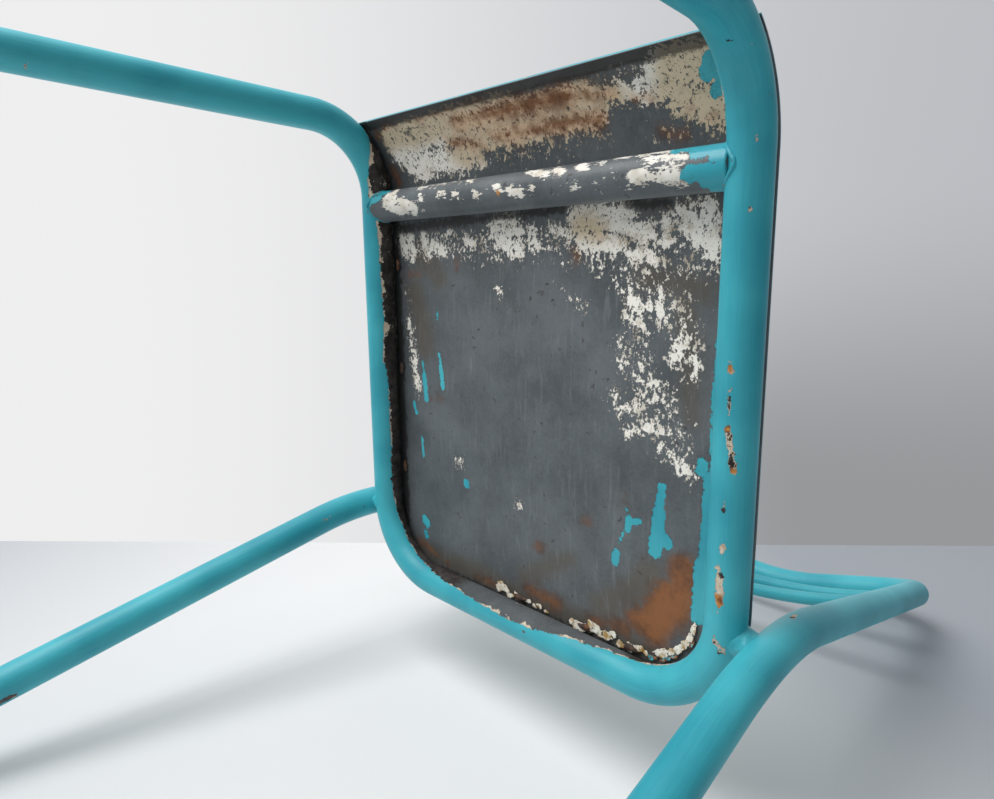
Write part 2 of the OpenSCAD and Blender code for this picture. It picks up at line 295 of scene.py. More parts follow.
# Centrelines in mm: the side rails' height and place across, the rear rail's place fore and
# aft, and where the leg lines meet the floor and the rails. Tubes end inside the foot caps.
tube_radius, tube_sides, line_step, tube_end = 12.5, 48, 2.6, 9
rail_height, rail_offset, rear_rail = 435, 168.5, 153.7
rail_bend, front_bend = 64.5, 61.5
front_foot, front_knee = (186.73, -256.36, 0), (rail_offset, -232.8, rail_height)
rail_corner = (rail_offset, rear_rail, rail_height)
seat_line = rounded_line([front_foot, front_knee, rail_corner,
                          mirrored(rail_corner), mirrored(front_knee), mirrored(front_foot)],
                         [front_bend, rail_bend, rail_bend, front_bend], line_step)
seat_line = seat_line[seat_line[:, 2] > tube_end]

# The rear rail is straight for bend_start to each side, and bend_end is the far end of its
# bend along the tube. The skin's turns are counted from a spine that runs inside the bends.
bend_start = rail_offset - rail_bend
bend_end = bend_start + rail_bend * np.pi / 2
seat_spine = np.stack([np.clip(seat_line[:, 0], -bend_start, bend_start),
                       np.minimum(seat_line[:, 1], rear_rail - rail_bend), seat_line[:, 2]], 1)
mm_per_degree = np.radians(tube_radius)


def seat_tube_wear(skin, length, turn):
    """bare, cream, pale and rust over the tube. v is the distance in front of the rear rail,
    along the tube, and lean the turn in degrees from the underside towards the seat sheet.
    The paint stops where lean passes border, and chips are small bare places."""
    x = np.broadcast_to(seat_line[:, :1], skin.shape[:2])
    half = np.abs(length - length[-1] / 2)[:, None] + 0 * x
    v = np.where(half > bend_end, half - bend_end + rail_bend, (half - bend_start) * 2 / np.pi)
    lean = (turn[None] - 90 + 180) % 360 - 180 + 0 * x
    around = lean * mm_per_degree
    rear = half < bend_start
    near = (x > 0) & ~rear
    border = np.interp(v, [0, 20, 40, 60, 80, 120, 180, 190, 200, 220, 300, 320, 330, 345, 360, 385],
                       [74, 88, 92, 80, 70, 74, 70, 55, 57, 65, 55, 40, 24, 30, 60, 160])
    border = np.where(rear, np.interp(x, [-104, -80, -60, -40, 0, 20, 40, 66, 72, 80, 104], [
        66, 50, 44, 34, 26, 30, 48, 64, 66, 74, 86]), border)
    border = np.where(near, np.interp(v, [0, 30, 64, 65, 385, 440], [88, 94, 88, 86, 113, 170]), border)
    flank = np.minimum(lean - border, 150 - lean) * mm_per_degree
    chips = strokes(v, around, [
        (218, -1, 214, -1.5, 1.5), (205, -1, 190, -1.2, 0.5), (182, -1, 178, -1.5, 1.7),
        (178, -2, 158, -5.6, 1.7), (141, -2, 135, -1.6, 0.8), (115, -1.7, 111, -1.7, 1.5),
        (102, 0.6, 101, 0.6, 1.5), (97, -1, 80, -1.5, 2.3), (60, 0, 58, -3, 1), (57, -4, 57, -7, 1.2),
        (362, 13, 352, 12, 2.2), (300, -7, 296, -7, 0.8), (334, -8, 330, -8.5, 0.7)])
    bare = np.where(near, np.maximum(flank, chips), flank)
    strip = np.interp(v, [0, 100, 190, 215, 240, 345, 380], [0.8, 0.6, 0.8, 3, 3.2, 5, 2])
    strip = np.where(rear, np.interp(x, [-104, -30, -20, 20, 30, 60, 104], [
        0.4, 0.6, 2.5, 2.5, 0.8, 1.2, 2]), strip)
    rust = strokes(v, around, [(216, -1, 216, -1, 3), (84, -1.4, 79, -1.5, 2.6),
                               (181, -1, 181, -1, 2), (159, -5.6, 159, -5.6, 2.4)])
    strip = np.where(near, np.interp(v, [0, 105, 120, 155, 185, 200, 470], [3, 9, 3, 0.2, 0.6, 3, 3]),
                     strip)
    pale = np.where(rear, np.interp(x, [-80, -50, 90, 110], [-6, 4, 4, -6]), -6)
    return {"bare": np.clip(bare, -30, 12), "cream": strip, "pale": pale,
            "rust": np.where(near, rust, -9.0)}


turquoise_paint = finish("turquoise_paint", turquoise)
dress(tube("painted_seat_frame", seat_line, seat_spine, tube_radius, tube_sides, seat_tube_wear),
      turquoise_paint, "turquoise_paint", "seat_frame_tube")


# --- Back frame tube ---------------------------------------------------------------------
# The second steel tube makes the rear legs, the uprights and the bowed top rail. It has
# only small chips, on the outside of its bends and where it was knocked near the floor.

rear_foot, rear_knee, top_corner = (215.12, 197.1, 0), (195, 93.2, 443), (163.42, 224.66, 873)
knee_bend, corner_bend, crown_bend = 243, 49, 230
back_line = rounded_line([rear_foot, rear_knee, top_corner, (0, 266.92, top_corner[2]),
                          mirrored(top_corner), mirrored(rear_knee), mirrored(rear_foot)],
                         [knee_bend, corner_bend, crown_bend, corner_bend, knee_bend], line_step)
back_line = back_line[back_line[:, 2] > tube_end]


def back_tube_wear(skin, length, turn):
    """Small chips scattered along the tube, each at a length and a turn in mm round it."""
    u = length[:, None] + 0 * turn[None]
    w = (turn[None] + 0 * length[:, None]) * mm_per_degree
    chips = strokes(u, w, [
        (60, 20, 66, 21, 1.8), (120, 62, 124, 61, 1.2), (31, 44, 44, 46, 2.2), (335, 8, 338, 9, 1),
        (470, 55, 476, 54, 1.5), (640, 12, 643, 12, 1.4), (905, 70, 909, 69, 2),
        (1010, 10, 1030, 11, 1.4), (1100, 66, 1112, 66, 1.6), (1215, 8, 1220, 9, 1.9),
        (1500, 60, 1504, 58, 1.3), (1710, 16, 1716, 17, 1.5), (1960, 30, 1975, 31, 2.3)])
    return {"bare": chips, "cream": chips * 0 + 1.2, "rust": chips - 1.5, "pale": chips * 0}


back_middle = (0, 40, 450)
dress(tube("painted_back_frame", back_line, back_middle, tube_radius, tube_sides, back_tube_wear),
      turquoise_paint, "turquoise_paint", "back_frame_tube")


# --- Back bars ---------------------------------------------------------------------------
# Two solid round bars, 12 mm thick, bowed rearwards and welded between the uprights, under
# the same brushed paint.

bar_radius, bar_bow, bar_heights = 6, 31, {"lower": 271, "upper": 344}


def upright(height):
    """The point of the right upright's centreline at a height above its knee."""
    share = height / (top_corner[2] - rear_knee[2])
    return np.array(rear_knee) + share * (np.array(top_corner) - rear_knee)


def bar_line(height):
    """A level arc through both uprights' centrelines: its middle lies bar_bow behind them."""
    half, behind, level = upright(height)
    sweep = 2 * np.arctan(bar_bow / half)
    radius = half / np.sin(sweep)
    turn = np.linspace(-sweep, sweep, 150)[2:-2]
    return np.stack([-radius * np.sin(turn), behind + bar_bow - radius + radius * np.cos(turn),
                     level + 0 * turn], 1)


def bar_wear(skin, length, turn):
    """Thin worn places along the bars' front, where a sitter's back rubs them."""
    u = length[:, None] + 0 * turn[None]
    w = turn[None] * np.radians(bar_radius) + 0 * length[:, None]
    rubs = strokes(u, w, [(90, 28, 98, 28, 0.9), (150, 26, 156, 27, 0.8), (228, 29, 231, 29, 1.3),
                          (40, 10, 42, 10, 0.8), (280, 8, 283, 8, 0.8)])
    return {"bare": rubs, "cream": rubs * 0 + 1, "rust": rubs - 2, "pale": rubs * 0}


for bar, height in bar_heights.items():
    middle = (0, 0, rear_knee[2] + height)
    dress(tube("painted_" + bar + "_bar", bar_line(height), middle, bar_radius, 32, bar_wear),
          turquoise_paint, "turquoise_paint", bar + "_back_bar")


# --- Cross tube --------------------------------------------------------------------------
# A steel tube, 25 mm thick, under the front of the seat. Nearly all its cream paint has
# flaked off the grey steel, and turquoise was smeared over both its ends.

cross_y, cross_half, cross_rows = rear_rail - 320.5, 161, 240
cross_line = np.linspace((-cross_half, cross_y, rail_height), (cross_half, cross_y, rail_height),
                         cross_rows)


def cross_wear(skin, length, turn):
    """cream, teal, rust and worn over the tube. x runs across the chair, and around is the
    distance in mm from the underside towards the rear of the chair."""
    x = np.broadcast_to(cross_line[:, :1], skin.shape[:2])
    around = np.arctan2(skin[..., 1] - cross_y, rail_height - skin[..., 2]) * tube_radius
    cream = strokes(x, around, [
        (-136, -4, -122, 4, 7), (-118, 2, -104, 6, 6), (-132, -16, -130, -8, 3), (-93, -2, -91, -1, 2.4),
        (-72, -3, -64, -3, 1.6), (-52, -2, -49, -1, 1.8), (-31, -1, -29, 2, 2.4), (-8, -3, -6, 0, 2.4),
        (5, 1, 14, 3, 3.4), (23, 1, 25, 1, 1.6), (60, 2, 63, 2, 2), (78, -12, 80, -11, 1.6),
        (62, -12, 66, -8, 3.2), (42, -12, 48, -7, 3.4), (28, -9, 36, -8, 2.6), (18, -14, 24, -12, 2.4),
        (-44, -12, -38, -11, 1.4), (-78, -12, -70, -12, 1.2), (-100, -12, -90, -13, 1.2),
        (104, -15, 124, -14, 3), (112, -9, 136, -7, 3.4), (104, 1, 124, 3, 3.6),
        (120, 2, 138, 5, 3.6), (-60, -14, -52, -13, 1.2), (84, -16, 96, -15, 1.6)])
    loose = strokes(x, around, [(-130, -10, -40, -12, 6), (-110, 0, 20, 0, 6),
                                (-20, -10, 90, -12, 7), (80, -8, 140, -12, 8), (20, 2, 90, 2, 5)])
    cream = np.maximum(cream, np.clip(loose, -20, 3) * 0.6 - 5)
    teal = strokes(x, around, [
        (-158, -14, -144, -13, 4), (-160, -4, -150, -6, 3.5), (162, -17, 128, -14, 4),
        (162, -15, 144, -11, 7), (166, -8, 156, -6, 5), (162, 4, 140, 3, 5), (162, 12, 148, 9, 4),
        (162, 20, 152, 16, 4)])
    rust = strokes(x, around, [(-7, 1, -6, 2, 2.2), (12, 2, 12, 2, 1)])
    worn = strokes(x, around, [(104, -14, 140, -2, 12), (108, 2, 138, 8, 6)])
    return {"cream": np.clip(cream, -20, 2.5), "teal": teal, "rust": rust, "worn": np.clip(worn, -4, 3)}


def cross_finish(wire):
    """Grey steel with crisp flakes of cream and smeared turquoise at the ends."""
    place, long = wire.place(), wire.place(0.35, 1, 1)
    ragged = wire.noise(long, 330, 6, 0.7)
    fine = wire.noise(place, 1200, 2)
    cream = (wire.field("cream") + ragged * 19 + wire.noise(long, 700, 4, 0.65) * 9).step(-0.2, 0.2)
    teal = (wire.field("teal") + wire.noise(place, 300, 5, 0.6) * 7 + fine).step(-0.15, 0.15)
    rust = (wire.field("rust") + ragged * 5).step(-0.4, 1.2)
    thin = (wire.noise(long, 420, 5, 0.7) + wire.noise(place, 40, 2) * 0.6
            + wire.field("cream").step(-12, 0) * 0.09).step(0.25, 0.28)
    colour = grey_steel(wire, place)
    colour = thin.blend(colour, shades(196, 192, 184))
    flake = wire.noise(place, 90, 4).step(-0.2, 0.3).blend(shades(226, 222, 214), shades(196, 186, 170))
    flake = (wire.noise(place, 260, 5, 0.7) + wire.field("worn") * 0.03).step(0.14, 0.2).blend(
        flake, shades(128, 126, 124))
    colour = cream.blend(colour, flake)
    colour = rust.blend(colour, wire.noise(place, 300, 3).step(-0.1, 0.2).blend(
        shades(140, 76, 34), shades(220, 160, 84)))
    colour = teal.blend(colour, paint_coat(wire, place, fine))
    roughness = 0.42 + cream * 0.3 - teal * 0.1 + ragged * 0.1
    return colour, roughness, 0.0, cream * 0.2 + teal * 0.35 + fine * 0.05 + thin * 0.1


cross_tube = tube("worn_cross_tube", cross_line, (0, cross_y, 400), tube_radius, 56, cross_wear)
dress(cross_tube, finish("cross_tube_steel", cross_finish), "bare_tube", "cross_tube")


# --- Seat sheet --------------------------------------------------------------------------
# One pressed steel sheet lies on the frame tubes and rolls down over their front bends,
# where its edge is folded under. Its underside is grey steel with flakes of cream, rust
# and dripped turquoise; its top is worn turquoise.

# In mm: how far the sheet stands out past the rails' centrelines, its rear corners, the flat
# part's length from the rear rail's centreline, and the roll's underside and axis height.
sheet_thickness, overhang, flat_length = 1.2, 9, 328.2
sheet_corner = rail_bend + overhang
roll_radius, roll_height = 74.15, 373.5
hem_start, hem_end, hem_half = 387.5, 395.5, 156
dish_corner, dish_half_width, dish_half_length, dish_middle = 55, 155.5, 143.25, 156.25
dish_depth, dish_slope = 3, 90


def sheet_place(x, v, top):
    """A point of the sheet x mm from the middle and v mm in front of the rear rail along the
    sheet, one thickness higher on its top. It dips in a soft dish, half a cosine wave down
    from a rounded rectangle, and past flat_length it turns about a level axis. The hem
    doubles its last 8 mm between the rails."""
    across = np.abs(x) - dish_half_width + dish_corner
    back = np.abs(v - dish_middle) - dish_half_length + dish_corner
    outside = (np.hypot(np.maximum(across, 0), np.maximum(back, 0))
               + np.minimum(np.maximum(across, back), 0) - dish_corner)
    dish = dish_depth / 2 * (1 - np.cos(np.pi * np.clip(-outside / dish_slope, 0, 1)))
    turn = np.maximum(0, v - flat_length) / roll_radius
    fold = (sheet_thickness * np.clip((v - hem_start) / 0.8, 0, 1)
            * np.clip((hem_half - np.abs(x)) / 1.5, 0, 1))
    radius = roll_radius - dish + np.where(top, sheet_thickness, -fold)
    return np.stack([x + 0 * v, rear_rail - np.minimum(v, flat_length) - radius * np.sin(turn),
                     roll_height + radius * np.cos(turn)], -1)


def sheet_wear(x, v):
    """Depth in mm of each kind of paint, dirt and painted shade over the underside."""
    dense = strokes(x, v, [
        # the band behind the cross tube
        (-152, 294, -147, 284, 6), (-140, 292, -137, 281, 6), (-122, 294, -116, 280, 5),
        (-108, 288, -96, 282, 6), (-92, 294, -88, 297, 3), (-68, 290, -60, 286, 4),
        (-38, 296, -12, 293, 6), (-30, 288, -12, 281, 7), (0, 293, 6, 284, 5), (22, 294, 36, 290, 4),
        (44, 300, 80, 298, 10), (48, 286, 76, 284, 8), (80, 294, 98, 288, 7), (88, 277, 104, 274, 5),
        (112, 296, 112, 284, 5), (124, 298, 134, 286, 8), (138, 302, 143, 276, 6), (-36, 302, -14, 302, 4),
        # the clusters on the right
        (86, 252, 92, 246, 5), (91, 242, 100, 244, 4), (87, 237, 98, 232, 3.4), (110, 255, 110, 236, 3.4),
        (119, 245, 128, 249, 2), (122, 215, 126, 224, 5), (134, 222, 134, 204, 2.6),
        (94, 199, 104, 196, 2.4), (104, 199, 112, 194, 2.6), (112, 186, 118, 189, 2.4),
        (84, 179, 96, 180, 3.8), (89, 163, 95, 166, 3), (103, 169, 116, 168, 3.8),
        (108, 177, 112, 176, 2.2), (115, 158, 124, 152, 2.6), (125, 149, 136, 144, 3.6),
        # the streak on the left, and single flecks
        (-143, 208, -138, 190, 2.8), (-140, 190, -135, 166, 3.4), (-146, 225, -143, 214, 2),
        (-79, 110, -78, 110, 2), (-31, 252, -31, 253, 1.2), (-9, 90, -9, 91, 1),
        # the front roll
        (-136, 370, -118, 354, 17), (-112, 352, -70, 350, 10), (-100, 376, -66, 372, 13),
        (-60, 366, 60, 370, 15), (-120, 384, 0, 386, 5), (-64, 352, -50, 350, 8), (66, 374, 106, 370, 6),
        (114, 374, 142, 380, 13), (122, 364, 142, 352, 10), (118, 388, 140, 388, 6)])
    loose = strokes(x, v, [
        (-150, 288, 142, 287, 12), (60, 272, 140, 270, 11), (84, 256, 128, 232, 12),
        (116, 236, 132, 206, 10), (90, 214, 122, 160, 16), (112, 164, 136, 145, 7),
        (78, 186, 88, 176, 8), (-144, 228, -138, 160, 5), (-148, 250, -142, 220, 4),
        (24, 256, 52, 242, 5), (-70, 276, 60, 272, 4), (-30, 254, -26, 246, 3),
        (-100, 350, 30, 344, 6), (-40, 352, 66, 350, 7), (50, 360, 66, 350, 5),
        (84, 384, 112, 386, 5), (-150, 384, 130, 386, 4), (104, 346, 146, 344, 5)])
    cream = np.maximum(np.clip(dense, -20, 4), np.clip(loose, -20, 6) * 0.5 - 4.6)
    rust = strokes(x, v, [
        # the rear right corner and the rear edge
        (132, 82, 128, 50, 13), (122, 56, 112, 40, 17), (100, 34, 112, 28, 12), (84, 25, 90, 24, 7),
        (-140, 24, -100, 12, 4), (-60, 12, -24, 15, 2.5), (-4, 22, 28, 20, 6), (60, 20, 80, 21, 4),
        # small spots
        (-80, 276, -79, 270, 4), (-148, 264, -128, 263, 3.5), (9, 62, 11, 60, 4), (53, 95, 58, 93, 2),
        (41, 279, 42, 276, 1.6), (88, 120, 88, 116, 0.6), (60, 288, 62, 286, 2.4),
        (-116, 158, -98, 161, 1.4),
        # the front roll
        (-62, 377, 50, 378, 10), (-76, 364, -40, 358, 7), (-30, 362, 66, 360, 9), (60, 376, 80, 372, 7),
        (90, 368, 104, 366, 4), (-156, 380, -130, 388, 5), (-156, 350, -150, 342, 6),
        (108, 346, 124, 342, 3), (128, 357, 129, 356, 3), (138, 350, 139, 349, 3),
        (-100, 386, -20, 390, 4)])
    teal = strokes(x, v, [
        # drips and splashes on the right, then on the left
        (115, 131, 113.5, 114, 3.2), (113.5, 114, 112.5, 94, 4.8), (119, 98, 121, 95, 3.6),
        (112, 94, 111.5, 88, 5.2), (89, 113, 90, 106, 1), (91, 105, 91, 97, 2.4), (94, 103, 99, 105, 2.4),
        (88, 95, 84, 86, 0.9), (82, 78, 80.5, 71, 3.2),
        (-102.5, 199, -101, 188, 1.6), (-101, 188, -99, 171, 2.8),
        (-127, 191, -125, 180, 1.2), (-125, 178, -123, 158, 3.2), (-104, 236, -104, 228, 1),
        (-142, 152, -138, 143, 1.8), (-131, 122, -130, 105, 1.6), (-71, 95, -70, 92, 3.2),
        (-131, 46, -128, 43, 4.6), (-131, 34, -129, 30, 2.6),
        # along the right rail, and in the right corners
        (147, 205, 147, 160, 1.2), (142, 152, 141, 147, 3.6), (147, 144, 146, 96, 4),
        (144, 88, 143, 52, 4.6), (153, 225, 153, 40, 6),
        (146, 380, 141, 372, 4.5), (150, 370, 145, 362, 4), (142, 14, 120, 6, 4)])
    brown = strokes(x, v, [
        (-136, 250, -122, 206, 14), (-128, 280, -100, 262, 12), (100, 262, 136, 256, 10),
        (-140, 16, 110, 14, 11), (126, 246, 134, 180, 8), (-152, 380, 140, 382, 4),
        (60, 300, 140, 304, 4), (110, 70, 70, 30, 14), (40, 60, -10, 30, 8)])
    warm = strokes(x, v, [
        (-150, 380, 40, 384, 16), (-60, 364, 70, 366, 22), (128, 352, 140, 380, 26),
        (46, 296, 60, 292, 9), (-150, 344, -150, 344, 10)])
    # Painted shade beside the cross tube, along the left rail and along the rear edge, over some grime
    # there, and dark bare steel all over the hem.
    dark = strokes(x, v, [
        (-160, 302, -60, 305, 4), (-60, 305, 30, 307, 3), (84, 307, 112, 305, 4),
        (-160, 20, -160, 310, 6), (-130, 3, 130, 3, 5), (70, 394, 150, 390, 5)])
    dark = np.maximum(dark, v - hem_start + 1)
    return {"cream": cream, "rust": rust, "teal": teal, "brown": brown, "warm": warm, "dark": dark}


# Rows of the sheet's grid: close together round the rear corners and at the hem's fold. The
# half width follows the two rear corners' circles.
corner_rows, plain_rows, under_cells, top_cells = 36, 208, 216, 54
corner_turn = np.linspace(0, np.pi / 2, corner_rows, endpoint=False)
fold_rows = [hem_start - 0.6, hem_start, hem_start + 0.8, hem_start + 3, hem_end - 2.5, hem_end]
v = np.concatenate([sheet_corner * (1 - np.cos(corner_turn)) - overhang,
                    np.linspace(rail_bend, fold_rows[0], plain_rows, endpoint=False),
                    fold_rows])[:, None]
half = bend_start + np.sqrt(sheet_corner ** 2 - np.maximum(0, rail_bend - v) ** 2)
under_x = half * np.linspace(-1, 1, under_cells + 1)[None]
top_x = half * np.linspace(1, -1, top_cells + 1)[None]
skin = np.concatenate([sheet_place(under_x, v, False), sheet_place(top_x, v, True)], 1)
girth = skin.shape[1]
under_wear = sheet_wear(under_x, v + 0 * under_x)
blank = np.full(top_x.shape, -40.0)
fields = {name: np.concatenate([grid, blank], 1).ravel() for name, grid in under_wear.items()}
fields["top"] = np.concatenate([0 * under_x, 0 * top_x + 1], 1).ravel()
i, j = np.meshgrid(np.arange(len(v) - 1), np.arange(girth), indexing="ij")
a, b = (i * girth + j).ravel(), (i * girth + (j + 1) % girth).ravel()
quads = np.stack([a, a + girth, b + girth, b], 1)
# Each end is closed by fans from the top's few points to the underside's many.
k = np.arange(under_cells)
partner = girth - 1 - (k + 2) // (under_cells // top_cells)
fan = np.stack([k, k + 1, partner], 1)
m = np.arange(top_cells)
seam = np.stack([girth - 1 - m, m * (under_cells // top_cells) + 2, girth - 2 - m], 1)
ends = np.concatenate([fan, seam])
last_row = (len(v) - 1) * girth
faces = quads.tolist() + ends.tolist() + (ends[:, ::-1] + last_row).tolist()
sheet = lay_mesh("seat_sheet_worn", skin.reshape(-1, 3), faces, None, fields)


def sheet_finish(wire):
    """Underside: grey steel, brown haze, crisp cream flakes, rust and drips of turquoise. Top:
    turquoise paint, rubbed through to cream and steel where people sat."""
    place, streaked = wire.place(), wire.place(1, 0.72, 1)
    ragged = wire.noise(streaked, 210, 7, 0.74)
    fine = wire.noise(place, 1300, 2)
    cloud = wire.noise(place, 30, 5, 0.65)
    colour = grey_steel(wire, place)
    haze = (wire.field("brown") + cloud * 16).step(-6, 10) * 0.6
    colour = haze.blend(colour, shades(84, 74, 60))
    streaks = wire.noise(wire.place(1, 0.12, 1), 320, 4, 0.6)
    colour = (streaks.step(0.02, 0.3) * 0.35).blend(colour, shades(128, 132, 136))
    dust = wire.noise(place, 260, 6, 0.75).step(0.24, 0.29) * wire.noise(place, 34, 2).step(0.02, 0.14)
    colour = dust.blend(colour, shades(132, 132, 128))
    blotch = wire.noise(streaked, 420, 5, 0.7)
    depth = wire.field("cream") + ragged * 28 + blotch * 20
    cream = depth.step(-0.2, 0.2)
    warm = (wire.field("warm") + cloud * 14 + ragged * 8).step(-6, 8)
    old = warm.blend(shades(235, 230, 221), shades(208, 190, 162))
    old = (wire.noise(place, 70, 5, 0.6) + blotch * 0.7).step(0.02, 0.3).blend(old, shades(168, 152, 130))
    pits = wire.noise(place, 420, 4, 0.62).step(0.16, 0.19)
    old = pits.blend(old, shades(84, 62, 48))
    old = (1 - depth.step(0.2, 1.4)).blend(old, shades(156, 142, 124))
    colour = cream.blend(colour, old)
    bloom = wire.field("rust") + cloud * 30 + wire.noise(place, 110, 5, 0.7) * 20
    rust = bloom.step(-4, 6)
    glow = wire.noise(place, 75, 6, 0.7) + wire.noise(place, 20, 2) * 0.4
    rusty = (glow + wire.field("rust") * 0.02 - 0.1).step(-0.3, 0.24).blend(
        shades(66, 46, 36), shades(138, 87, 49))
    washed = glow.step(-0.12, 0.14).blend(shades(128, 82, 54), shades(218, 186, 154))
    rusty = (cream * bloom.step(16, 4)).blend(rusty, washed)
    colour = (rust * wire.field("rust").step(-2, 9) * 0.45 + rust * 0.5).blend(colour, rusty)
    teal = (wire.field("teal") + wire.noise(place, 330, 5, 0.65) * 6 + fine * 1.2).step(-0.15, 0.15)
    # dark: mostly painted shade by the cross tube, the left rail and the rear edge, some grime, and dark
    # bare steel over the hem.
    dark = (wire.field("dark") + ragged * 18 + cloud * 6).step(-1.2, 2.2) * 0.82
    colour = dark.blend(colour, shades(38, 34, 32))
    brush = wire.noise(wire.place(1, 0.06, 1), 700, 3, 0.6)
    coat = paint_coat(wire, place, brush)
    colour = teal.blend(colour, coat)
    # The top: paint everywhere but in worn patches.
    worn = (wire.noise(place, 11, 3, 0.6) * 46 + ragged * 22 + blotch * 10 - 6).step(-0.3, 0.3)
    scratch = (wire.noise(wire.place(1, 0.05, 1), 420, 3).step(0.27, 0.29)
               * wire.noise(place, 25, 2).step(0, 0.1))
    rubbed = wire.noise(place, 60, 5, 0.7).step(-0.1, 0.15).blend(
        shades(200, 190, 172), shades(112, 112, 112))
    upper = worn.math("MAXIMUM", worn, scratch).blend(coat, rubbed)
    top = wire.field("top").step(0.4, 0.6)
    colour = top.blend(colour, upper)
    paint = teal.math("MAXIMUM", teal, top * (1 - worn))
    roughness = 0.5 + cream * 0.2 + rust * 0.2 - paint * 0.18 + ragged * 0.12
    height = (cream * 0.16 + teal * 0.4 + rust * ragged * 0.5 + ragged * 0.06) * (1 - top) \
        + top * (brush * 0.1 - worn * 0.2)
    return colour, roughness, 0.0, height + fine * 0.04


dress(sheet, finish("seat_sheet_finish", sheet_finish), "seat_sheet", "seat_pan")


# --- Welds of the two frame tubes --------------------------------------------------------
# Where the back tube crosses each side rail a short web of weld metal fills the corner
# between them, smoothed over by thick paint.

def rough(points, size, height, seed):
    """Height mm of uneven lumps about size mm across: sums of sines of the place."""
    p = points / size
    return height * (np.sin(p[..., 0] * 2.1 + p[..., 1] * 1.7 + seed) * np.sin(p[..., 2] * 2.3 - seed)
                     + 0.6 * np.sin(p[..., 1] * 4.3 + 2 * seed) * np.sin(p[..., 0] * 3.9 + p[..., 2] * 3.1))


def web(side):
    """A waisted sleeve along x from 174 mm, in the rail's side, to the back tube: near the
    rail it is long fore and aft, and it is tallest at both its ends, each radius growing as a
    square."""
    t = np.linspace(0, 1, 40)[:, None]
    turn = np.linspace(0, 2 * np.pi, 64, endpoint=False)[None]
    deep, tall = 6.5 + 7 * (1 - t) ** 2, 9.6 + 1.5 * (2 * t - 1) ** 2
    points = np.stack([side * (174 + 15.5 * t) + 0 * turn, 98 + 1.5 * t + deep * np.cos(turn),
                       rail_height + 0.5 + 1.5 * t + tall * np.sin(turn)], -1)
    return points + rough(points, 4, 0.35, 1.0)[..., None] * np.array([0, 0.7, 0.7])


def weld_mesh(name, parts):
    """One closed mesh of several grids, each a sleeve with a fan at both its ends."""
    points, faces, start = [], [], 0
    for grid in parts:
        ends = np.stack([grid[0].mean(0), grid[-1].mean(0)])
        points.append(np.concatenate([grid.reshape(-1, 3), ends]))
        faces += [[f + start for f in face] for face in closed_faces(*grid.shape[:2])]
        start += len(points[-1])
    return lay_mesh(name, np.concatenate(points), faces)


def weld_paint(wire, cracked):
    """Thick turquoise over weld metal, with grime and old cream in its creases."""
    place = wire.place()
    brush = wire.noise(place, 300, 4)
    coat = paint_coat(wire, place, brush)
    crease = (wire.noise(place, 210, 5, 0.7) + cracked).step(0.19, 0.24)
    colour = crease.blend(coat, wire.noise(place, 160, 3).step(-0.1, 0.2).blend(
        shades(60, 52, 48), shades(170, 156, 136)))
    return colour, 0.36 + crease * 0.4, 0.0, brush * 0.3 - crease * 0.2


weld_coat = finish("painted_weld_metal", lambda wire: weld_paint(wire, 0))
dress(weld_mesh("joint_weld_webs", [web(1)[:, ::-1], web(-1)]), weld_coat, "painted_weld", "joint_welds")


# --- Welds of the cross tube and the back bars -------------------------------------------
# Beads run by hand round each end of the cross tube and of both bars, where they meet a
# tube. The cross tube's are smeared with turquoise and cream.

def bead(centre, reach, tube_axis, tube_radius, size, ripple):
    """A rippled bead round the end of a level bar that runs to a tube: the middle of the bead
    follows the bar's circle of radius reach, and at each turn it lies on the tube's skin,
    sqrt(R squared - offset squared) before the tube's axis."""
    turn = np.linspace(0.55 * np.pi, 2.45 * np.pi, 150)
    circle = np.stack([0 * turn, reach * np.cos(turn), reach * np.sin(turn)], 1)
    side = np.sign(tube_axis[0])
    lift = centre[2] + circle[:, 2] - tube_axis[2]
    slope = tube_axis[0] - side * np.sqrt(np.maximum(tube_radius ** 2 - lift ** 2, 4))
    line = np.array(centre) + circle
    line[:, 0] = slope
    length = np.concatenate([[0], np.cumsum(np.linalg.norm(np.diff(line, axis=0), axis=1))])
    radius = size * (1 + 0.12 * np.abs(np.sin(length * np.pi / ripple)) + 0.1 * np.sin(length / 5))
    radius = radius * np.minimum(1, np.minimum(length, length[-1] - length) / 3 + 0.15)
    skin = round_skin(line, centre, radius[:, None], 16)[0]
    return skin + rough(skin, 2.5, 0.12, reach)[..., None] * 0.6


cross_beads = [bead((side * 158, cross_y, rail_height), 12, (side * rail_offset, 0, rail_height),
                    12.3, 1.2, 3.7) for side in (1, -1)]
dress(weld_mesh("cross_tube_beads", cross_beads),
      finish("cracked_weld_paint", lambda wire: weld_paint(wire, 0.14)), "painted_weld", "cross_tube_welds")


def bar_bead(side, height):
    """A thin rippled ring round a bar's end: it stands on the upright's skin, whose distance
    from the bar's end grows towards the ring's top and bottom."""
    at = upright(height) * (side, 1, 1)
    sweep = 2 * np.arctan(bar_bow / abs(at[0]))
    inward = np.array([-side * np.cos(sweep), np.sin(sweep), 0])
    level, up = np.array([side * np.sin(sweep), np.cos(sweep), 0]), np.array([0, 0, 1])
    turn = np.linspace(0, 2 * np.pi, 90)
    ring, reach = bar_radius + 0.3, tube_radius + 0.1
    gap = np.sqrt(reach ** 2 - (ring * np.cos(turn)) ** 2)
    line = (at + gap[:, None] * inward + ring * np.cos(turn)[:, None] * level
            + ring * np.sin(turn)[:, None] * up)
    skin = round_skin(line, at + 12 * inward, 1.5, 12)[0]
    return skin + rough(skin, 2, 0.1, height)[..., None]


bar_beads = [bar_bead(side, height) for side in (1, -1) for height in bar_heights.values()]
dress(weld_mesh("back_bar_beads", bar_beads), weld_coat, "painted_weld", "back_bar_welds")


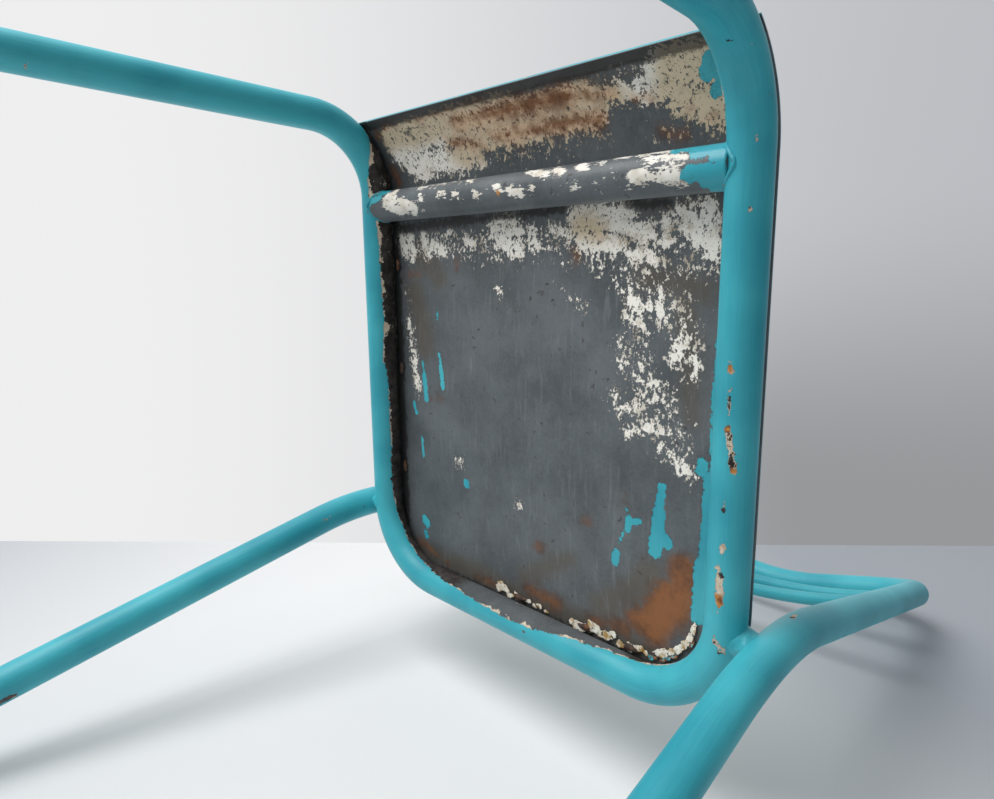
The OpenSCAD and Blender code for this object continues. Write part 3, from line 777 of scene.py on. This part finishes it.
# --- Tack welds --------------------------------------------------------------------------
# Short blobs of weld hold the sheet to the inner side of the rails, rusty and grimed over.

def blob(x, y, z, a, b, c, seed, lumps=0.18):
    """An uneven ellipsoid: its radius varies with the turns by a few sines."""
    polar = np.linspace(0.02, np.pi - 0.02, 18)[:, None]
    turn = np.linspace(0, 2 * np.pi, 28, endpoint=False)[None]
    swell = 1 + lumps * (np.sin(3 * turn + seed) * np.sin(polar) + 0.6 * np.sin(5 * turn - 2 * seed)
                         * np.sin(2 * polar))
    return np.stack([x + a * swell * np.sin(polar) * np.cos(turn),
                     y + b * swell * np.sin(polar) * np.sin(turn), z - c * np.cos(polar) + 0 * turn], -1)


def rusty_weld(wire):
    """Dark weld metal with rust in its hollows."""
    place = wire.place()
    lump = wire.noise(place, 240, 5, 0.6)
    colour = lump.step(-0.1, 0.2).blend(shades(58, 48, 42), shades(112, 74, 50))
    return colour, 0.7 + lump * 0.3, 0.0, lump * 0.6


tack_step = 318 / 3.5
tacks = [blob(side * 156.2, rear_rail - tack_step * n, 446.2, 2.2, 5, 1.8, n + side)
         for side in (1, -1) for n in (1, 2, 3)]
tacks += [blob(x, rear_rail - tube_radius, 446.0, 6, 2.4, 2.2, x) for x in (-10, 55, 95)]
dress(weld_mesh("tack_weld_blobs", tacks), finish("rusty_weld_metal", rusty_weld), "bare_weld",
      "seat_tack_welds")


# --- Torn paint along the rear of the sheet ----------------------------------------------
# Where old cream paint bridged the corner between sheet and rear rail it has torn into
# curled, white and ochre flakes, which stand a millimetre or two off the steel.

flake_height = 446.4


def flake(x, v, length, width, lift, lean, seed):
    """A thin curled chip: an ellipse with a ragged outline, 0.5 mm thick, bent down by half of
    lift times the square of its place across, and turned by lean."""
    polar = np.linspace(0.02, np.pi - 0.02, 18)[:, None]
    turn = np.linspace(0, 2 * np.pi, 72, endpoint=False)[None]
    wave = (1 + 0.13 * np.sin(3 * turn + seed) + 0.08 * np.sin(7 * turn + 2.3 * seed)
            + 0.06 * np.sin(13 * turn - seed) + 0.05 * np.sin(23 * turn + 3 * seed))
    p = length / 2 * wave * np.sin(polar) * np.cos(turn)
    q = width / 2 * wave * np.sin(polar) * np.sin(turn)
    r = -0.25 * np.cos(polar) - 0.5 * lift * (q / width + 0.5) ** 2 - 0.25 * np.sin(p * 0.9 + seed)
    c, s = np.cos(np.radians(lean)), np.sin(np.radians(lean))
    return np.stack([x + c * p - s * q, rear_rail - v + s * p + c * q, flake_height + r], -1)


def torn_paint(wire):
    """White to ochre paint, stained brown in blots."""
    place = wire.place()
    blot = wire.noise(place, 130, 4, 0.6)
    colour = blot.step(-0.06, 0.12).blend(shades(232, 228, 216), shades(176, 142, 84))
    colour = wire.noise(place, 380, 4, 0.7).step(0.08, 0.14).blend(colour, shades(74, 60, 46))
    return colour, 0.55, 0.0, wire.noise(place, 600, 3) * 0.2


flakes = [(-30, 15, 14, 7, 1.4, 12, 1.0), (-22, 10.5, 9, 4, 1.2, -10, 2.0), (-35, 12, 6, 4, 1, 40, 0.2),
          (-14, 13.5, 7, 3.4, 0.8, 20, 3.1), (-9, 11.5, 5, 2.6, 0.8, -20, 3.9),
          (-2, 12.5, 8, 3, 0.7, -8, 4.4),
          (5, 11, 5, 2.4, 0.7, 30, 1.4), (10, 12.5, 6, 3, 0.8, 14, 5.2),
          (17, 10.5, 5, 2.4, 0.7, 0, 0.4), (43, 12, 6, 4.6, 1.4, 30, 1.1),
          (52, 11.5, 19, 6.5, 1.8, -4, 1.7), (63, 15.5, 12, 7, 1.6, 16, 3.6),
          (72, 13, 15, 6, 1.3, -8, 4.9), (80, 16.5, 6, 4, 1, 24, 5.7), (86, 11.5, 7, 5, 1.2, 0, 0.9),
          (95, 12.5, 9, 6, 1.5, 12, 2.2), (101, 14.5, 9, 4.4, 1.2, -14, 3.3),
          (107, 13.5, 5, 3, 1, 30, 0.3),
          (119, 18.5, 12, 6, 1.3, -24, 4.1), (126, 22, 7, 4.4, 1.2, -40, 5.0),
          (131, 26, 9, 5, 1.2, -48, 2.7), (136, 31.5, 9, 5, 1.3, -56, 0.6),
          (139, 37, 8, 4.4, 1, -66, 3.5), (141.5, 44, 9, 4, 1, -78, 1.5)]
dress(weld_mesh("torn_paint_flakes", [flake(*f) for f in flakes]),
      finish("torn_old_paint", torn_paint), "seat_sheet")
curls = [(112, 12.5, 7, 3, 2.2, -8, 2.0), (122, 16, 9, 4, 2.6, -28, 0.8),
         (129, 20.5, 6, 3, 2, -40, 4.2), (140.5, 34, 8, 3, 1.6, -62, 3.0)]
dress(weld_mesh("torn_paint_curls", [flake(*c) for c in curls]), turquoise_paint, "seat_sheet")


# --- Foot caps ---------------------------------------------------------------------------
# Black rubber cups are pushed over the four leg ends. Each has a rounded lip, two grip
# rings and a worn sole, cut level at the floor.

def foot_cup(foot, knee):
    """A turned cup along the leg: a profile of radius against height, its points below the
    floor raised to it."""
    foot, axis = np.array(foot, float), unit(np.array(knee, float) - np.array(foot, float))
    profile = np.array([(-6, 0.1), (-6, 14.6), (-4, 15.2), (0, 15.4), (4, 15.4), (8, 15.4),
                        (9, 14.9), (10, 14.9), (11, 15.4), (14, 15.4), (15, 14.9), (16, 14.9),
                        (17, 15.4), (23, 15.3), (25, 14.9), (25.9, 14.1), (26, 12.7), (25, 12.4),
                        (10, 12.3), (10, 0.1)])
    steps = np.linspace(0, len(profile) - 1, 150)
    height = np.interp(steps, np.arange(len(profile)), profile[:, 0])
    radius = np.interp(steps, np.arange(len(profile)), profile[:, 1])
    side = unit(np.cross(axis, [0, 1, 0]))
    fore = np.cross(axis, side)
    turn = np.linspace(0, 2 * np.pi, 64, endpoint=False)[:, None]
    ring = np.cos(turn) * side + np.sin(turn) * fore
    grid = foot + height[:, None, None] * axis + radius[:, None, None] * ring
    grid[..., 2] = np.maximum(grid[..., 2], 0)
    return grid


def black_rubber(wire):
    """Matt black rubber, scuffed grey near the floor and dusty in its grain."""
    scuff = wire.noise(wire.place(1, 1, 0.3), 240, 5, 0.7)
    low = wire.node("SeparateXYZ", None, {0: wire.node("TexCoord", out="Object")}, 2)
    worn = ((1 - low.step(0, 0.012)) * 0.5 + scuff).step(0.1, 0.5)
    colour = worn.blend(shades(30, 30, 31), shades(96, 92, 86))
    return colour, 0.72 + scuff * 0.2, 0.0, scuff * 0.15


rubber = finish("black_rubber", black_rubber)
for leg, foot, knee in (("front_right", front_foot, front_knee),
                        ("front_left", mirrored(front_foot), mirrored(front_knee)),
                        ("rear_right", rear_foot, rear_knee),
                        ("rear_left", mirrored(rear_foot), mirrored(rear_knee))):
    dress(weld_mesh("rubber_" + leg, [foot_cup(foot, knee)]), rubber, "foot_rubber", "foot_" + leg)


# --- Floor and backdrop ------------------------------------------------------------------
# A pale floor under the feet, and a pale board that leans against the back of the chair.
# Each is seen from its front only, and neither shades the chair from the lamp.

def pale_board(name, corners, tint, shaded_tint):
    """A flat board through four corners in metres, which is clear when seen from behind and
    goes from shaded_tint at its lower left through tint back to shaded_tint at its upper right:
    painted shade, where the board would fall into shadow."""
    mesh = bpy.data.meshes.new(name)
    mesh.from_pydata(corners, [], [tuple(range(len(corners)))])
    board = bpy.data.objects.new(name, mesh)
    bpy.context.scene.collection.objects.link(board)
    material = bpy.data.materials.new(name)
    material.use_nodes = True
    material.node_tree.nodes.clear()
    wire = Wire(material.node_tree)
    behind = wire.node("NewGeometry", out="Backfacing")
    reach = wire.node("VectorMath", {"operation": "DOT_PRODUCT"},
                      {0: wire.node("TexCoord", out="Object"), 1: (0.6, 0, 0.8)}, "Value")
    pale = wire.node("BsdfPrincipled", None, {
        "Base Color": reach.step(0.42, 0.78).blend(
            reach.step(-0.6, 0.36).blend(shades(*shaded_tint), shades(*tint)), shades(*shaded_tint)),
        "Roughness": 1.0, "Specular IOR Level": 0.0})
    clear = wire.node("BsdfTransparent")
    one_sided = wire.node("MixShader", None, {0: behind, 1: pale, 2: clear})
    wire.node("OutputMaterial", None, {"Surface": one_sided})
    mesh.materials.append(material)
    board.visible_shadow = False
    return board


floor_half, floor_tint = 3, (232, 232, 232)
floor_corners = [(i * floor_half, j * floor_half, 0) for i, j in ((-1, -1), (1, -1), (1, 1), (-1, 1))]
pale_board("floor", floor_corners, floor_tint, floor_tint)

# The board stands behind the chair, 0.056 further back for each metre up. Its upper left edge
# runs through two places, given across and up, and goes on to both sides.
edge_low, edge_high = np.array([-0.7202, 0.2084]), np.array([0.1602, 1.2435])
along_edge = edge_high - edge_low
from_edge = np.array([along_edge[1], -along_edge[0]]) * 1.6
edge = [edge_low - along_edge * 2, edge_low - along_edge * 2 + from_edge,
        edge_high + along_edge * 2 + from_edge, edge_high + along_edge * 2]
# The leaning board darkens towards its lower left and upper right: painted shade.
pale_board("leaning_board", [(float(x), float(0.2151 + 0.056 * z), float(z)) for x, z in edge],
           (220, 220, 220), (158, 162, 168))


# --- Light and camera --------------------------------------------------------------------
# A broad soft window in front of the chair and below the seat, in a bright pale room. The
# camera is low down beside the chair's right legs and looks up under the seat, rolled over so
# that its own up points to the chair's front.

camera_right, camera_up, camera_back = ((0.6954, 0.0110, 0.7185), (-0.1263, -0.9824, 0.1373),
                                        (0.7074, -0.1862, -0.6818))
camera_place = (0.34978, -0.11623, 0.07597)

world = bpy.data.worlds.new("room")
bpy.context.scene.world = world
world.use_nodes = True
world.node_tree.nodes.clear()
sky = Wire(world.node_tree)
seen = sky.node("LightPath", out="Is Camera Ray")
way = sky.node("TexCoord", out="Generated")
dot = {"operation": "DOT_PRODUCT"}
# What the camera sees of the room: pale, darker to the right and darkest low on the right, a painted shade.
sideways = sky.node("VectorMath", dot, {0: way, 1: camera_right}, "Value")
shaded_backdrop = sideways.step(-0.5, 0.62).blend((0.86, 0.86, 0.865, 1), (0.5, 0.51, 0.54, 1))
upwards = sky.node("VectorMath", dot, {0: way, 1: camera_up}, "Value")
shaded_backdrop = (sideways.step(0.05, 0.4) * upwards.step(0.28, -0.12)).blend(shaded_backdrop, (0.31, 0.315, 0.325, 1))
east = sky.node("VectorMath", dot, {0: way, 1: (0.98, 0.0, 0.17)}, "Value")
glow = east.step(-0.6, 0.9).blend((1.0, 1.0, 0.99, 1), (0.18, 0.2, 0.23, 1))
room = sky.node("Background", None, {"Color": seen.blend(glow, shaded_backdrop), "Strength": 1.0})
sky.node("OutputWorld", None, {"Surface": room})

lamp_data = bpy.data.lights.new("window", "AREA")
lamp_data.shape, lamp_data.size, lamp_data.energy = "DISK", 1.5, 42
lamp = bpy.data.objects.new("window", lamp_data)
bpy.context.scene.collection.objects.link(lamp)
toward = Vector((-0.25, -0.85, -0.42)).normalized()
lamp.location = Vector((0, 0, 0.45)) + toward * 1.9
lamp.rotation_euler = toward.to_track_quat("Z", "Y").to_euler()

camera_data = bpy.data.cameras.new("camera")
camera_data.sensor_width, camera_data.lens, camera_data.clip_start = 36, 25.42, 0.01
camera = bpy.data.objects.new("camera", camera_data)
bpy.context.scene.collection.objects.link(camera)
turned = Matrix([camera_right, camera_up, camera_back]).transposed().to_4x4()
turned.translation = camera_place
camera.matrix_world = turned
bpy.context.scene.camera = camera
bpy.context.scene.view_settings.view_transform = "Standard"
